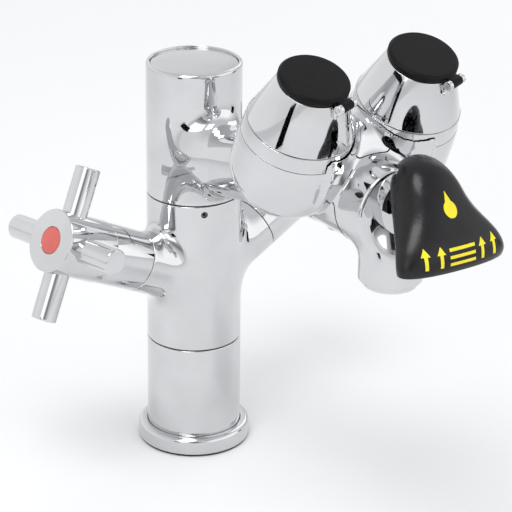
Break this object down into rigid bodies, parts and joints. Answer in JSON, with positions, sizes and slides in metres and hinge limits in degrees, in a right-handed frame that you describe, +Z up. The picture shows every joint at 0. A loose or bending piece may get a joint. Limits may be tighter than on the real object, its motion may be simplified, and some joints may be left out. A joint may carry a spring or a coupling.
{
  "type": "eyewash station",
  "caption": "Deck-mounted mixing faucet whose spout carries eyewash heads with hinged dust caps, with cross handles and a lift-up front actuator.",
  "frame": {"origin": "centre of the gasket's underside, on the deck and on the column's axis", "axes": "+Z up along the column, -Y forward along the spout as it stands at rest, +X to the cold handle"},
  "size_m": [0.1943, 0.2527, 0.2402],
  "materials": {
    "chrome": "polished chrome plate",
    "brass": "turned brass",
    "black_plastic": "satin moulded black plastic",
    "rubber": "moulded rubber",
    "clear_plastic": "translucent moulded plastic",
    "steel": "plain stainless steel",
    "red_button": "gloss",
    "blue_button": "gloss"
  },
  "bodies": {
    "base": {"deck_gasket": "rubber", "base_flange": "chrome", "mounting_plate": "brass", "lower_column": "chrome", "lower_seal": "rubber", "valve_body": "chrome", "hot_check_valve": "clear_plastic", "cold_check_valve": "clear_plastic", "hot_cartridge_washer": "rubber", "cold_cartridge_washer": "rubber", "hot_cartridge": "brass", "cold_cartridge": "brass", "hot_trim_sleeve": "chrome", "cold_trim_sleeve": "chrome", "upper_seal": "rubber", "spout_lock_screw": "steel"},
    "spout": {"spout_body": "chrome", "spigot_o_ring": "rubber", "top_cap": "chrome", "aerator_washer": "rubber", "aerator_insert": "clear_plastic", "aerator_shell": "chrome", "left_lock_ring": "chrome", "right_lock_ring": "chrome", "left_head_cover": "chrome", "right_head_cover": "chrome", "left_riser": "brass", "right_riser": "brass", "left_flow_disc": "rubber", "right_flow_disc": "rubber", "left_spray_insert": "clear_plastic", "right_spray_insert": "clear_plastic", "left_cap_pin": "steel", "right_cap_pin": "steel", "diverter_sleeve": "brass", "diverter_gland": "rubber", "front_bonnet": "chrome"},
    "hood": {"lift_hood": "black_plastic", "hood_pivot_pin": "steel"},
    "diverter": {"diverter_stem": "brass", "diverter_o_ring": "rubber"},
    "left_cap": {"left_dust_cap": "black_plastic"},
    "right_cap": {"right_dust_cap": "black_plastic"},
    "hot_handle": {"hot_stem": "brass", "hot_hub": "chrome", "hot_cross_arms": "chrome", "hot_handle_screw": "steel", "hot_index_button": "red_button"},
    "cold_handle": {"cold_stem": "brass", "cold_hub": "chrome", "cold_cross_arms": "chrome", "cold_handle_screw": "steel", "cold_index_button": "blue_button"}
  },
  "joints": [
    {"name": "spout_swivel", "type": "hinge", "parent": "base", "child": "spout", "pos_m": [0, 0, 0], "axis": [0, 0, 1], "range_deg": [-23, 37]},
    {"name": "hot_handle_turn", "type": "hinge", "parent": "base", "child": "hot_handle", "pos_m": [0, 0, 0.0861], "axis": [-0.8942, -0.105, 0.4352], "range_deg": [0, 90]},
    {"name": "cold_handle_turn", "type": "hinge", "parent": "base", "child": "cold_handle", "pos_m": [0, 0, 0.0861], "axis": [0.8942, 0.105, 0.4352], "range_deg": [-90, 0]},
    {"name": "hood_lift", "type": "hinge", "parent": "spout", "child": "hood", "pos_m": [0, -0.174, 0.1895], "axis": [-1, 0, 0], "range_deg": [0, 40]},
    {"name": "diverter_slide", "type": "slide", "parent": "spout", "child": "diverter", "axis": [0, -1, 0], "range_m": [0, 0.0071]},
    {"name": "left_cap_hinge", "type": "hinge", "parent": "spout", "child": "left_cap", "pos_m": [-0.02294, -0.15306, 0.22494], "axis": [0.9511, 0.2851, 0.1193], "range_deg": [0, 110]},
    {"name": "right_cap_hinge", "type": "hinge", "parent": "spout", "child": "right_cap", "pos_m": [0.03406, -0.15306, 0.22494], "axis": [0.9511, 0.2851, 0.1193], "range_deg": [0, 110]}
  ],
  "couplings": [
    {"joint": "hood_lift", "follows": "diverter_slide", "rad_per_m": 98.04}
  ]
}
